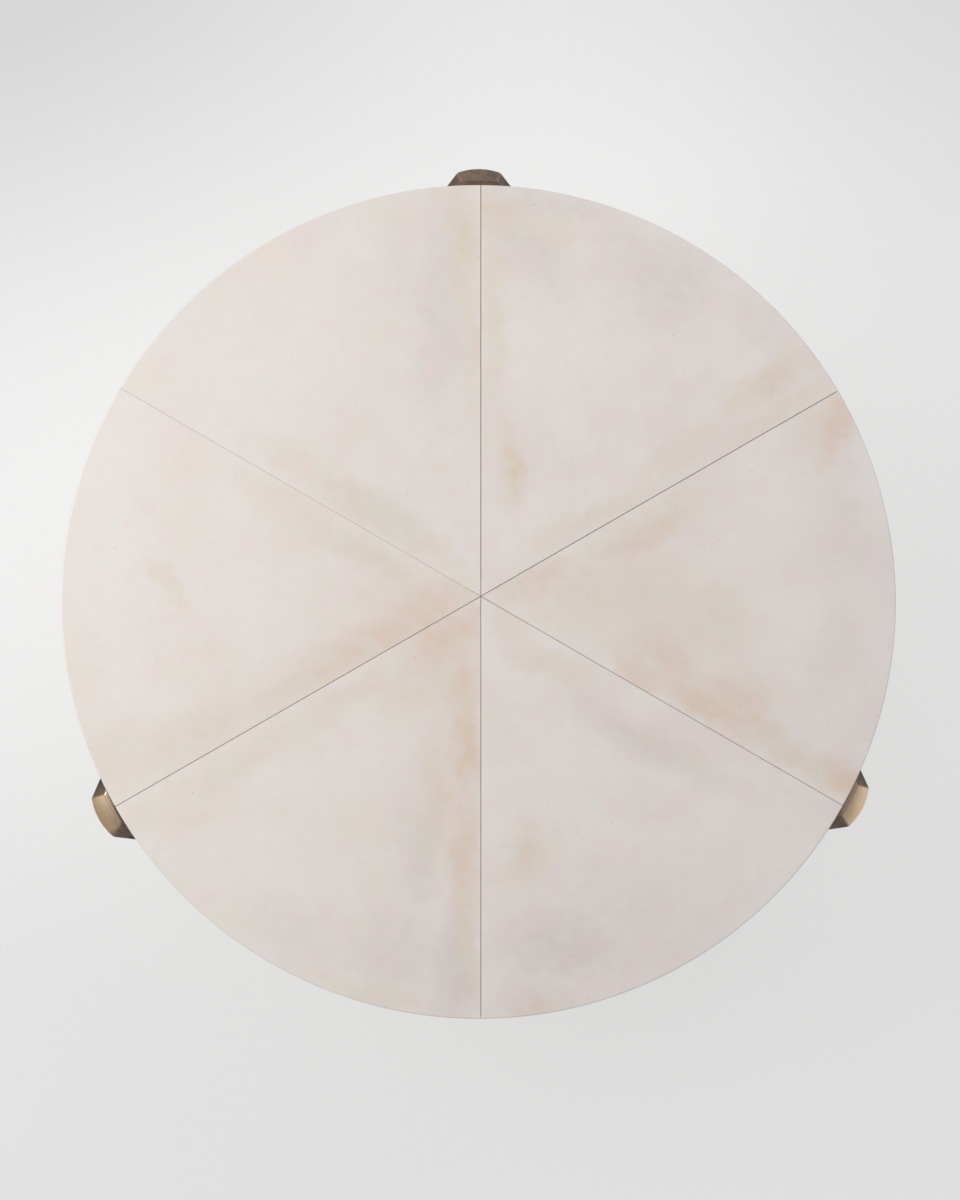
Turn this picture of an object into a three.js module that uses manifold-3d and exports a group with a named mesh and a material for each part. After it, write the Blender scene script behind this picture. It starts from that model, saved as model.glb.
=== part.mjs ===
// A round cocktail table. Six wedge panels, each a board wrapped in parchment, are screwed to a
// plywood disc, and three hollow cast brass legs grip the rim from outside. Millimetres, +Z up.
import * as THREE from 'three';
import { mergeVertices } from 'three/addons/utils/BufferGeometryUtils.js';
import Module from 'manifold-3d';

const wasm = await Module();
wasm.setup();

// The whole table
const topRadius = 457.2;
const tableHeight = 457.2;

// A seam ends over every leg, and one more ends midway between each two legs
const legCount = 3;
const panelsPerLeg = 2;
const panelCount = legCount * panelsPerLeg;

// Where the first seam ends, and how far each leg is set round from the seam that ends over it
const firstSeamDegrees = 90;
const legTurnDegrees = [0.15, 0.25, 1.1];

// Clearances: between faces that rest or are glued, round a shank in its hole, and from rim to leg
const restGap = 0.3;
const threadGap = 0.3;
const rimGap = 1.2;

// How far a cut runs past the face that it opens
const overrun = 5;

// The wedge panels: the skin wraps the board's top and edges and is turned under as a hem
const panelThickness = 26;
const skinThickness = 1;
const seamGap = 0.4;
const edgeRound = 2.6;
const hemWidth = 14;
const rimSteps = 20;
const roundSteps = 2;

// The plywood disc that carries the panels
const discThickness = 15;
const discSetback = 12;
const discSteps = 96;

// The leg's widest level, the shoulder, measured outward from the rim and from the top down
const shoulderDrop = 38;
const shoulderReach = 25.8;
const shoulderBulge = 4.3;
const shoulderFrontHalf = 24.4;
const shoulderSideReach = 2.4;
const shoulderSideHalf = 42;
const shoulderDepth = 81;
const shoulderBackHalf = 24;

// The lip above the shoulder that stands outside the rim
const lipDrop = 6;
const lipReach = 5.6;
const lipBulge = 0.5;
const lipFrontHalf = 19.5;

// The leg's foot, centred under the shoulder
const footDepth = 50;
const footBulge = 2.4;
const footFrontHalf = 13;
const footSideSet = 14;
const footSideHalf = 24;
const footBackHalf = 13;

// The casting: its wall, the solid stretch under its shelf, and the curve of its taper
const legWall = 6;
const solidHead = 34;
const taperPower = 1.7;
const taperSteps = 8;
const bulgeSteps = 6;

// The steel plate let into the leg's shelf and screwed up into the disc
const plateLength = 132;
const plateHalfWidth = 22;
const plateThickness = 6;
const plateSetback = 10;
const plateFit = 0.4;

// Countersunk screws: wood screws into disc and boards, machine screws into the legs
const woodScrew = {
  shankRadius: 2.5,
  headRadius: 4.8,
  headHeight: 2.8,
  tipLength: 5,
  tipRadius: 0.8,
  socketRadius: 2,
  socketDepth: 1.8,
};
const machineScrew = {
  shankRadius: 4,
  headRadius: 7.8,
  headHeight: 4.2,
  tipLength: 1.5,
  tipRadius: 3,
  socketRadius: 2.9,
  socketDepth: 3,
};
const screwSteps = 8;
const hexSides = 6;

// How much of a panel, of the disc and of the leg's solid head the screws bite into
const panelBiteShare = 0.6;
const discBiteShare = 0.78;
const headBiteShare = 0.72;

// Where the screws go: along each panel's middle line, and on each plate
const panelScrewRadiusShares = [0.36, 0.82];
const plateScrewShares = [
  { inward: 0.54, across: -0.58 },
  { inward: 0.54, across: 0.58 },
  { inward: 0.88, across: 0 },
];
const legScrewShares = [
  { inward: 0.13, across: -0.5 },
  { inward: 0.13, across: 0.5 },
];

// The plate brazed into the foot, and the threaded bush pressed into it
const footPlateThickness = 8;
const footPlateFit = 0.3;
const bushRadius = 8;
const bushLength = 16;
const bushFlangeRadius = 10;
const bushFlangeThickness = 1.5;

// The levelling glide: a threaded stud with a hexagon, held by its toe in a swivelling pad
const padRadius = 17;
const padTopRadius = 14;
const padHeight = 8;
const padRimHeight = 2;
const padFloor = 3;
const toeRadius = 6;
const toeHeight = 2.2;
const neckRadius = 4.2;
const hexRadius = 8.6;
const hexHeight = 5;
const studRadius = 5;
const studLength = 36;
const studChamfer = 1;
const glideSteps = 16;

// How far the glides are screwed out of the legs as the table stands, which is as far as they go
const glideExtension = 8;

// Heights worked out from the sizes above
const panelBottom = tableHeight - panelThickness;
const discTop = panelBottom - restGap;
const discBottom = discTop - discThickness;
const shelfHeight = discBottom - restGap;
const plateBottom = shelfHeight - plateThickness;
const hexBottom = padHeight + restGap;
const hexTop = hexBottom + hexHeight;
const legBottom = hexTop + restGap + glideExtension;

// Radii and the leg's own middle line, measured from the table's axis
const discRadius = topRadius - discSetback;
const notchRadius = topRadius + rimGap;
const shoulderFront = topRadius + shoulderReach;
const legMiddle = shoulderFront - shoulderDepth / 2;
const plateOuter = notchRadius - plateSetback;

// Screw lengths from head to tip
const panelScrewLength = discThickness + restGap + panelBiteShare * panelThickness;
const plateScrewLength = plateThickness + restGap + discBiteShare * discThickness;
const legScrewLength = plateThickness + headBiteShare * (solidHead - plateThickness);

// Colour, roughness and metalness of each finish
const finishes = {
  parchment: { color: 0xdccfbf, roughness: 0.42, metalness: 0 },
  board: { color: 0xb08c62, roughness: 0.85, metalness: 0 },
  plywood: { color: 0xc7a677, roughness: 0.7, metalness: 0 },
  brass: { color: 0x9c8256, roughness: 0.38, metalness: 1 },
  steel: { color: 0x3b3b3d, roughness: 0.5, metalness: 0.8 },
  zinc: { color: 0xa9abad, roughness: 0.35, metalness: 1 },
  nylon: { color: 0x1e1e1f, roughness: 0.6, metalness: 0 },
};

// A closed geometry as a solid that can be joined and cut
function toSolid(geometry) {
  const bare = new THREE.BufferGeometry();
  bare.setAttribute('position', geometry.getAttribute('position'));
  bare.setIndex(geometry.index);
  const merged = mergeVertices(bare);
  const vertProperties = merged.getAttribute('position').array;
  const triVerts = Uint32Array.from(merged.index.array);
  return new wasm.Manifold(new wasm.Mesh({ numProp: 3, vertProperties, triVerts }));
}

// A solid as a geometry again
function toGeometry(solid) {
  const { vertProperties, triVerts } = solid.getMesh();
  const geometry = new THREE.BufferGeometry();
  geometry.setAttribute('position', new THREE.BufferAttribute(vertProperties, 3));
  geometry.setIndex(new THREE.BufferAttribute(triVerts, 1));
  geometry.computeVertexNormals();
  return geometry;
}

// A closed body through a stack of level rings, lowest first, each counter-clockwise from above
function loft(rings) {
  const count = rings[0].length;
  const lastStart = (rings.length - 1) * count;
  const index = [];
  for (let level = 0; level + 1 < rings.length; level += 1) {
    for (let side = 0; side < count; side += 1) {
      const low = level * count + side;
      const lowNext = level * count + ((side + 1) % count);
      index.push(low, lowNext, lowNext + count);
      index.push(low, lowNext + count, low + count);
    }
  }
  const flat = (ring) => ring.map((point) => new THREE.Vector2(point.x, point.y));
  for (const [a, b, c] of THREE.ShapeUtils.triangulateShape(flat(rings[0]), [])) {
    index.push(c, b, a);
  }
  for (const [a, b, c] of THREE.ShapeUtils.triangulateShape(flat(rings.at(-1)), [])) {
    index.push(lastStart + a, lastStart + b, lastStart + c);
  }
  const geometry = new THREE.BufferGeometry().setFromPoints(rings.flat());
  geometry.setIndex(index);
  return toSolid(geometry);
}

// A body turned about the Z axis from pairs of radius and height
function turned(profile, steps) {
  const points = profile.map(([radius, height]) => new THREE.Vector2(radius, height));
  return new THREE.LatheGeometry(points, steps).rotateX(Math.PI / 2);
}

// An upright prism between two heights
function prism(radius, bottom, top, sides) {
  const geometry = new THREE.CylinderGeometry(radius, radius, top - bottom, sides);
  return geometry.rotateX(Math.PI / 2).translate(0, 0, (bottom + top) / 2);
}

// A box between two heights, reaching from one distance to another along X
function block(near, far, halfWidth, bottom, top) {
  const geometry = new THREE.BoxGeometry(far - near, 2 * halfWidth, top - bottom);
  return geometry.translate((near + far) / 2, 0, (bottom + top) / 2);
}

// One level ring of a wedge about the X axis, drawn in from the seams and the rim alike
function wedgeRing(inset, height) {
  const halfAngle = Math.PI / panelCount;
  const sideInset = seamGap / 2 + inset;
  const radius = topRadius - inset;
  const cornerAngle = halfAngle - Math.asin(sideInset / radius);
  const ring = [new THREE.Vector3(sideInset / Math.sin(halfAngle), 0, height)];
  for (let step = 0; step <= rimSteps; step += 1) {
    const angle = cornerAngle * ((2 * step) / rimSteps - 1);
    ring.push(new THREE.Vector3(radius * Math.cos(angle), radius * Math.sin(angle), height));
  }
  return ring;
}

// A wedge whose top edges are rounded all the way round
function wedge(inset, bottom, top, round) {
  const rings = [wedgeRing(inset, bottom)];
  for (let step = 0; step <= roundSteps; step += 1) {
    const angle = (Math.PI / 2) * (step / roundSteps);
    const drawnIn = round * (1 - Math.cos(angle));
    rings.push(wedgeRing(inset + drawnIn, top - round + round * Math.sin(angle)));
  }
  return loft(rings);
}

// The board inside a wrapped panel, smaller than its wrapping by a gap, with a boss inside the hem
function boardShape(gap, bossBottom) {
  const wrap = skinThickness + gap;
  const round = Math.max(edgeRound - wrap, restGap);
  const body = wedge(wrap, panelBottom + wrap, tableHeight - wrap, round);
  const bossTop = panelBottom + panelThickness / 2;
  const boss = loft([wedgeRing(hemWidth + gap, bossBottom), wedgeRing(hemWidth + gap, bossTop)]);
  return body.add(boss);
}

// A countersunk screw along Z with its head's flat face at height zero and its shank below
function screw(spec, length) {
  const body = turned(
    [
      [0, -length],
      [spec.tipRadius, -length],
      [spec.shankRadius, spec.tipLength - length],
      [spec.shankRadius, -spec.headHeight],
      [spec.headRadius, 0],
      [0, 0],
    ],
    screwSteps,
  );
  const socket = prism(spec.socketRadius, -spec.socketDepth, overrun, hexSides);
  return toGeometry(toSolid(body).subtract(toSolid(socket)));
}

// The hole that a countersunk screw leaves, open above its head
function screwHole(spec, length) {
  const headRadius = spec.headRadius + threadGap;
  const shankRadius = spec.shankRadius + threadGap;
  return turned(
    [
      [0, -length - threadGap],
      [shankRadius, -length - threadGap],
      [shankRadius, -spec.headHeight],
      [headRadius, 0],
      [headRadius, overrun],
      [0, overrun],
    ],
    screwSteps,
  );
}

// A screw or its hole set at a place, driven downward or, turned over, upward
function placed(geometry, x, y, height, upward) {
  const copy = geometry.clone();
  if (upward) {
    copy.rotateX(Math.PI);
  }
  return copy.translate(x, y, height);
}

// Screw places along a panel's middle line, as distances from the table's axis
const panelScrewRadii = panelScrewRadiusShares.map((share) => share * discRadius);

// A place on a mounting plate, as shares of its length inward and of its half width
function onPlate({ inward, across }) {
  return { x: plateOuter - inward * plateLength, y: across * plateHalfWidth };
}

const plateScrewPlaces = plateScrewShares.map(onPlate);
const legScrewPlaces = legScrewShares.map(onPlate);

// The angle at which each leg and each panel stands
function legAngle(index) {
  const seamDegrees = firstSeamDegrees + (360 * index) / legCount;
  return THREE.MathUtils.degToRad(seamDegrees + legTurnDegrees[index]);
}

function panelAngle(index) {
  return THREE.MathUtils.degToRad(firstSeamDegrees + (360 * (index + 0.5)) / panelCount);
}

// The wrapped skin of one panel: a tray with its hem turned in under the board
function parchment() {
  const outside = wedge(0, panelBottom, tableHeight, edgeRound);
  return toGeometry(outside.subtract(boardShape(0, panelBottom - overrun)));
}

// The board of one panel, with blind holes for the screws that come up through the disc
function panelBoard() {
  let board = boardShape(restGap, panelBottom);
  for (const radius of panelScrewRadii) {
    const hole = placed(screwHole(woodScrew, panelScrewLength), radius, 0, discBottom, true);
    board = board.subtract(toSolid(hole));
  }
  return toGeometry(board);
}

// The disc under the panels, with countersunk holes from below
function backingDisc() {
  let disc = toSolid(prism(discRadius, discBottom, discTop, discSteps));
  for (let panel = 0; panel < panelCount; panel += 1) {
    for (const radius of panelScrewRadii) {
      const hole = placed(screwHole(woodScrew, panelScrewLength), radius, 0, discBottom, true);
      disc = disc.subtract(toSolid(hole.rotateZ(panelAngle(panel))));
    }
  }
  for (let leg = 0; leg < legCount; leg += 1) {
    for (const { x, y } of plateScrewPlaces) {
      const hole = placed(screwHole(woodScrew, plateScrewLength), x, y, plateBottom, true);
      disc = disc.subtract(toSolid(hole.rotateZ(legAngle(leg))));
    }
  }
  return toGeometry(disc);
}

// The leg's sections: a bowed front, two diagonal fronts, two long sides and a narrow back
const footSection = {
  height: legBottom,
  front: legMiddle + footDepth / 2,
  bulge: footBulge,
  frontHalf: footFrontHalf,
  side: legMiddle + footDepth / 2 - footSideSet,
  sideHalf: footSideHalf,
  back: legMiddle - footDepth / 2,
  backHalf: footBackHalf,
};
const shoulderSection = {
  height: tableHeight - shoulderDrop,
  front: shoulderFront,
  bulge: shoulderBulge,
  frontHalf: shoulderFrontHalf,
  side: topRadius + shoulderSideReach,
  sideHalf: shoulderSideHalf,
  back: shoulderFront - shoulderDepth,
  backHalf: shoulderBackHalf,
};

// The lip's diagonals run parallel to the shoulder's, so that the facets between them are flat
const lipFront = topRadius + lipReach;
const lipRun = lipFront - notchRadius + overrun;
const diagonalSlope =
  (shoulderSection.sideHalf - shoulderSection.frontHalf) / (shoulderSection.front - shoulderSection.side);
const lipSection = {
  height: tableHeight - lipDrop,
  front: lipFront,
  bulge: lipBulge,
  frontHalf: lipFrontHalf,
  side: lipFront - lipRun,
  sideHalf: lipFrontHalf + lipRun * diagonalSlope,
  back: lipFront - 2 * lipRun,
  backHalf: lipFrontHalf,
};

// The section at a height between foot and shoulder, flaring faster towards the shoulder
function sectionAt(height) {
  const climb = (height - footSection.height) / (shoulderSection.height - footSection.height);
  const share = climb ** taperPower;
  const section = {};
  for (const key of Object.keys(footSection)) {
    section[key] = THREE.MathUtils.lerp(footSection[key], shoulderSection[key], share);
  }
  section.height = height;
  return section;
}

// One ring of the leg, drawn in towards its middle by a wall
function legRing(section, wall) {
  const { front, bulge, frontHalf, side, sideHalf, back, backHalf, height } = section;
  const points = [];
  for (let step = 0; step <= bulgeSteps; step += 1) {
    const across = (2 * step) / bulgeSteps - 1;
    points.push([front + bulge * (1 - across ** 2), across * frontHalf]);
  }
  points.push([side, sideHalf], [back, backHalf], [back, -backHalf], [side, -sideHalf]);
  const middle = (front + bulge + back) / 2;
  const depthShare = 1 - wall / (front + bulge - middle);
  const widthShare = 1 - wall / sideHalf;
  return points.map(
    ([x, y]) => new THREE.Vector3(middle + (x - middle) * depthShare, y * widthShare, height),
  );
}

// The rings of the leg or of its hollow between two heights
function legRings(bottom, top, wall) {
  const rings = [];
  for (let step = 0; step <= taperSteps; step += 1) {
    const height = THREE.MathUtils.lerp(bottom, top, step / taperSteps);
    rings.push(legRing(sectionAt(height), wall));
  }
  return rings;
}

// The leg casting: hollow from below, notched for the top, with a bed for its plate
function leg() {
  const outside = loft([
    ...legRings(footSection.height, shoulderSection.height, 0),
    legRing(lipSection, 0),
  ]);
  const hollowRings = legRings(footSection.height, shelfHeight - solidHead, legWall);
  const mouth = hollowRings[0].map((point) => point.clone().setZ(point.z - overrun));
  const hollow = loft([mouth, ...hollowRings]);
  const notch = prism(notchRadius, shelfHeight, tableHeight + overrun, discSteps);
  const bed = block(
    plateOuter - plateLength - overrun,
    plateOuter + plateFit,
    plateHalfWidth + plateFit,
    plateBottom - restGap,
    shelfHeight + overrun,
  );
  let casting = outside.subtract(hollow).subtract(toSolid(notch)).subtract(toSolid(bed));
  for (const { x, y } of legScrewPlaces) {
    const hole = placed(screwHole(machineScrew, legScrewLength), x, y, shelfHeight, false);
    casting = casting.subtract(toSolid(hole));
  }
  return toGeometry(casting);
}

// The plate, countersunk above for the leg's screws and below for the disc's
function mountingPlate() {
  const inner = plateOuter - plateLength;
  let plate = toSolid(block(inner, plateOuter, plateHalfWidth, plateBottom, shelfHeight));
  for (const { x, y } of legScrewPlaces) {
    const hole = placed(screwHole(machineScrew, legScrewLength), x, y, shelfHeight, false);
    plate = plate.subtract(toSolid(hole));
  }
  for (const { x, y } of plateScrewPlaces) {
    const hole = placed(screwHole(woodScrew, plateScrewLength), x, y, plateBottom, true);
    plate = plate.subtract(toSolid(hole));
  }
  return toGeometry(plate);
}

// The plate that closes the foot and holds the bush
function footPlate() {
  const top = legBottom + footPlateThickness;
  const body = loft([
    legRing(sectionAt(legBottom), legWall + footPlateFit),
    legRing(sectionAt(top), legWall + footPlateFit),
  ]);
  const bore = prism(bushRadius + restGap, legBottom - overrun, top + overrun, glideSteps);
  const sinkTop = legBottom + bushFlangeThickness + restGap;
  const sink = prism(bushFlangeRadius + restGap, legBottom - overrun, sinkTop, glideSteps);
  const holes = toSolid(bore).add(toSolid(sink)).translate([legMiddle, 0, 0]);
  return toGeometry(body.subtract(holes));
}

// The threaded bush, with its flange flush in the underside of the foot plate
function glideBush() {
  const bore = studRadius + threadGap;
  const flangeTop = legBottom + bushFlangeThickness;
  const top = legBottom + bushLength;
  return turned(
    [
      [bore, legBottom],
      [bushFlangeRadius, legBottom],
      [bushFlangeRadius, flangeTop],
      [bushRadius, flangeTop],
      [bushRadius, top],
      [bore, top],
      [bore, legBottom],
    ],
    glideSteps,
  );
}

// The stud: a toe and neck held in the pad, a hexagon for a spanner, and the threaded shank
function glideStud() {
  const toeBottom = padFloor + restGap;
  const toeTop = toeBottom + toeHeight;
  const shankTop = hexTop + studLength;
  const round = turned(
    [
      [0, toeBottom],
      [toeRadius, toeBottom],
      [toeRadius, toeTop],
      [neckRadius, toeTop],
      [neckRadius, hexBottom + restGap],
      [studRadius, hexTop - restGap],
      [studRadius, shankTop - studChamfer],
      [studRadius - studChamfer, shankTop],
      [0, shankTop],
    ],
    glideSteps,
  );
  const hexagon = prism(hexRadius, hexBottom, hexTop, hexSides);
  return toGeometry(toSolid(round).add(toSolid(hexagon)));
}

// The pad that stands on the floor, with an undercut socket that keeps the stud's toe
function glidePad() {
  const mouthRadius = neckRadius + restGap;
  const socketRadius = toeRadius + restGap;
  const socketTop = padFloor + toeHeight + 2 * restGap;
  return turned(
    [
      [0, 0],
      [padRadius, 0],
      [padRadius, padRimHeight],
      [padTopRadius, padHeight],
      [mouthRadius, padHeight],
      [mouthRadius, socketTop],
      [socketRadius, socketTop],
      [socketRadius, padFloor],
      [0, padFloor],
    ],
    glideSteps,
  );
}

// Hang one named piece of a finish in a group
function addPiece(group, name, geometry, finish) {
  const mesh = new THREE.Mesh(geometry, new THREE.MeshStandardMaterial(finishes[finish]));
  mesh.name = name;
  group.add(mesh);
  return mesh;
}

// A group turned about the table's axis to an angle
function addSpoke(group, angle) {
  const spoke = new THREE.Group();
  spoke.rotation.z = angle;
  group.add(spoke);
  return spoke;
}

const table = new THREE.Group();

// The top: the disc, and the panels with their screws
addPiece(table, 'backing_disc', backingDisc(), 'plywood');
const skinGeometry = parchment();
const boardGeometry = panelBoard();
const panelScrewGeometry = screw(woodScrew, panelScrewLength);
for (let panel = 0; panel < panelCount; panel += 1) {
  const spoke = addSpoke(table, panelAngle(panel));
  const number = panel + 1;
  addPiece(spoke, `parchment_${number}`, skinGeometry, 'parchment');
  addPiece(spoke, `panel_board_${number}`, boardGeometry, 'board');
  panelScrewRadii.forEach((radius, index) => {
    const place = placed(panelScrewGeometry, radius, 0, discBottom, true);
    const screwNumber = panel * panelScrewRadii.length + index + 1;
    addPiece(spoke, `panel_screw_${screwNumber}`, place, 'zinc');
  });
}

// The legs, each with its plate, screws, foot plate and levelling glide
const legGeometry = leg();
const plateGeometry = mountingPlate();
const plateScrewGeometry = screw(woodScrew, plateScrewLength);
const legScrewGeometry = screw(machineScrew, legScrewLength);
const footPlateGeometry = footPlate();
const bushGeometry = glideBush();
const studGeometry = glideStud();
const padGeometry = glidePad();
for (let index = 0; index < legCount; index += 1) {
  const spoke = addSpoke(table, legAngle(index));
  const number = index + 1;
  addPiece(spoke, `leg_${number}`, legGeometry, 'brass');
  addPiece(spoke, `mounting_plate_${number}`, plateGeometry, 'steel');
  legScrewPlaces.forEach(({ x, y }, place) => {
    const screwNumber = index * legScrewPlaces.length + place + 1;
    const geometry = placed(legScrewGeometry, x, y, shelfHeight, false);
    addPiece(spoke, `leg_screw_${screwNumber}`, geometry, 'zinc');
  });
  plateScrewPlaces.forEach(({ x, y }, place) => {
    const screwNumber = index * plateScrewPlaces.length + place + 1;
    const geometry = placed(plateScrewGeometry, x, y, plateBottom, true);
    addPiece(spoke, `plate_screw_${screwNumber}`, geometry, 'zinc');
  });
  addPiece(spoke, `foot_plate_${number}`, footPlateGeometry, 'brass');
  addPiece(spoke, `glide_bush_${number}`, bushGeometry, 'zinc').position.x = legMiddle;
  addPiece(spoke, `glide_stud_${number}`, studGeometry, 'zinc').position.x = legMiddle;
  addPiece(spoke, `glide_pad_${number}`, padGeometry, 'nylon').position.x = legMiddle;
}

// The origin is on the floor, midway across the whole outline: the first leg's head reaches past the rim
const legReach = shoulderFront + shoulderBulge;
table.position.y = (topRadius - legReach) / 2;

export default table;
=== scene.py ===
"""A round cocktail table: six wedges wrapped in parchment, on three cast brass legs.

The camera looks almost straight down on it, as in the photograph. Metres, +Z up, the floor at zero.
"""

import math

import bmesh
import bpy
from mathutils import Matrix, Vector


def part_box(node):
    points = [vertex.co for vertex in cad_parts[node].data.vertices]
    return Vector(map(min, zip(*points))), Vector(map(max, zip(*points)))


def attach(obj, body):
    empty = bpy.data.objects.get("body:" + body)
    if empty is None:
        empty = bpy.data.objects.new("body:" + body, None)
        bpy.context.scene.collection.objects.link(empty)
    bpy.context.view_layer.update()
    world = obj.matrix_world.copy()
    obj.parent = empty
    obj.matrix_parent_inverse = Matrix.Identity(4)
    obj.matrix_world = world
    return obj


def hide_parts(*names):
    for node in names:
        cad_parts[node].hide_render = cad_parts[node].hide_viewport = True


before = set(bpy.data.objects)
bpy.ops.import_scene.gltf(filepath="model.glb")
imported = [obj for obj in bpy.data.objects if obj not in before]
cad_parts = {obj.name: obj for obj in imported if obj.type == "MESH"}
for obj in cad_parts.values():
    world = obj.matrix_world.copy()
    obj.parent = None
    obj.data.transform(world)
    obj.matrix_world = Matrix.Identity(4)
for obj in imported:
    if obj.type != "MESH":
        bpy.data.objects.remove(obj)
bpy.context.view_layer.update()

MM = 0.001

# Sizes read from the solids. The second panel lies on the left, so it ends at the rim there.
disc_low, disc_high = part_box("backing_disc")
axis = Vector(((disc_low.x + disc_high.x) / 2, (disc_low.y + disc_high.y) / 2, 0))
panel_low, panel_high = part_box("parchment_2")
top_height = panel_high.z
panel_bottom = panel_low.z
rim_radius = axis.x - panel_low.x

# A leg's shoulder lies this far below the top, and its rubbed head starts this far above the hem
SHOULDER_DROP = 38 * MM
RUBBED_ABOVE_HEM = 3.6 * MM
head_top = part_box("leg_1")[1].z
head_bottom = panel_bottom + RUBBED_ABOVE_HEM
shoulder = top_height - SHOULDER_DROP

# Panels and legs are counted anticlockwise from the seam that ends at the first leg
PANEL_COUNT = 6
LEG_COUNT = 3
FIRST_SEAM = math.radians(90)
WEDGE_ANGLE = math.tau / PANEL_COUNT


def ramp(value, low, high):
    """How far a number lies from a low one to a high one, from 0 to 1."""
    return max(0, min(1, (value - low) / (high - low)))


def paint(red, green, blue):
    """A paint colour from its values of 0 to 255, as the linear colour that a shader takes."""
    levels = [value / 255 for value in (red, green, blue)]
    linear = [x / 12.92 if x <= 0.04045 else ((x + 0.055) / 1.055) ** 2.4 for x in levels]
    return (*linear, 1)


def added(name, data):
    """A new object in the scene, with its camera, lamp or mesh data."""
    made = bpy.data.objects.new(name, data)
    bpy.context.scene.collection.objects.link(made)
    return made


def meshed(name, shape, finish):
    """A new object with a finished shape and its finish."""
    mesh = bpy.data.meshes.new(name)
    shape.to_mesh(mesh)
    shape.free()
    mesh.materials.append(finish)
    return added(name, mesh)


# Camera, floor and lamps

LENS = 50
SENSOR = 36
PHOTO_HEIGHT = 1200
PIXELS_PER_RADIAN = LENS / SENSOR * PHOTO_HEIGHT

# The radius of the rim in the photograph, in pixels
RIM_PIXELS = 417.8

# The camera stands a little to the lower left of the axis, so the far side of the top is up right
CAMERA_LEAN = 0.060
LEAN_TOWARDS = Vector((0.38, 0.925, 0)).normalized()

# Where the photograph has the middle of the top, in pixels right of and above its own middle
MIDDLE_RIGHT = 0.85
MIDDLE_UP = 3.7


def add_camera():
    """Hang the camera over the top and aim it so that the top's middle falls where it should."""
    distance = rim_radius * PIXELS_PER_RADIAN / RIM_PIXELS
    middle = axis + Vector((0, 0, top_height))
    upright = math.sqrt(1 - CAMERA_LEAN**2)
    stand = middle - distance * CAMERA_LEAN * LEAN_TOWARDS + Vector((0, 0, distance * upright))
    metres_per_pixel = distance / PIXELS_PER_RADIAN
    aim = middle - metres_per_pixel * Vector((MIDDLE_RIGHT, MIDDLE_UP, 0))
    camera_data = bpy.data.cameras.new("camera")
    camera_data.lens = LENS
    camera_data.sensor_width = SENSOR
    camera = added("camera", camera_data)
    camera.location = stand
    forward = (aim - stand).normalized()
    right = forward.cross(Vector((0, 1, 0))).normalized()
    up = right.cross(forward)
    camera.rotation_euler = Matrix((right, up, -forward)).transposed().to_euler()
    bpy.context.scene.camera = camera


def add_softbox(name, stand, side, power):
    """A big soft square lamp that looks at the middle of the top."""
    lamp_data = bpy.data.lights.new(name, "AREA")
    lamp_data.shape = "RECTANGLE"
    lamp_data.size = side
    lamp_data.size_y = side
    lamp_data.energy = power
    lamp = added(name, lamp_data)
    lamp.location = stand
    towards = axis + Vector((0, 0, top_height)) - Vector(stand)
    lamp.rotation_euler = towards.to_track_quat("-Z", "Y").to_euler()


def arithmetic(operation, swapped=False):
    """One of the signs of a Value: it adds a Math node."""

    def method(self, other):
        numbers = (other, self) if swapped else (self, other)
        return self.finish.maths(operation, *numbers)

    return method


class Value:
    """A number, place or colour that varies over a surface."""

    def __init__(self, finish, socket):
        self.finish = finish
        self.socket = socket

    __add__ = arithmetic("ADD")
    __radd__ = arithmetic("ADD", swapped=True)
    __sub__ = arithmetic("SUBTRACT")
    __rsub__ = arithmetic("SUBTRACT", swapped=True)
    __mul__ = arithmetic("MULTIPLY")
    __rmul__ = arithmetic("MULTIPLY", swapped=True)
    __truediv__ = arithmetic("DIVIDE")


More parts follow.
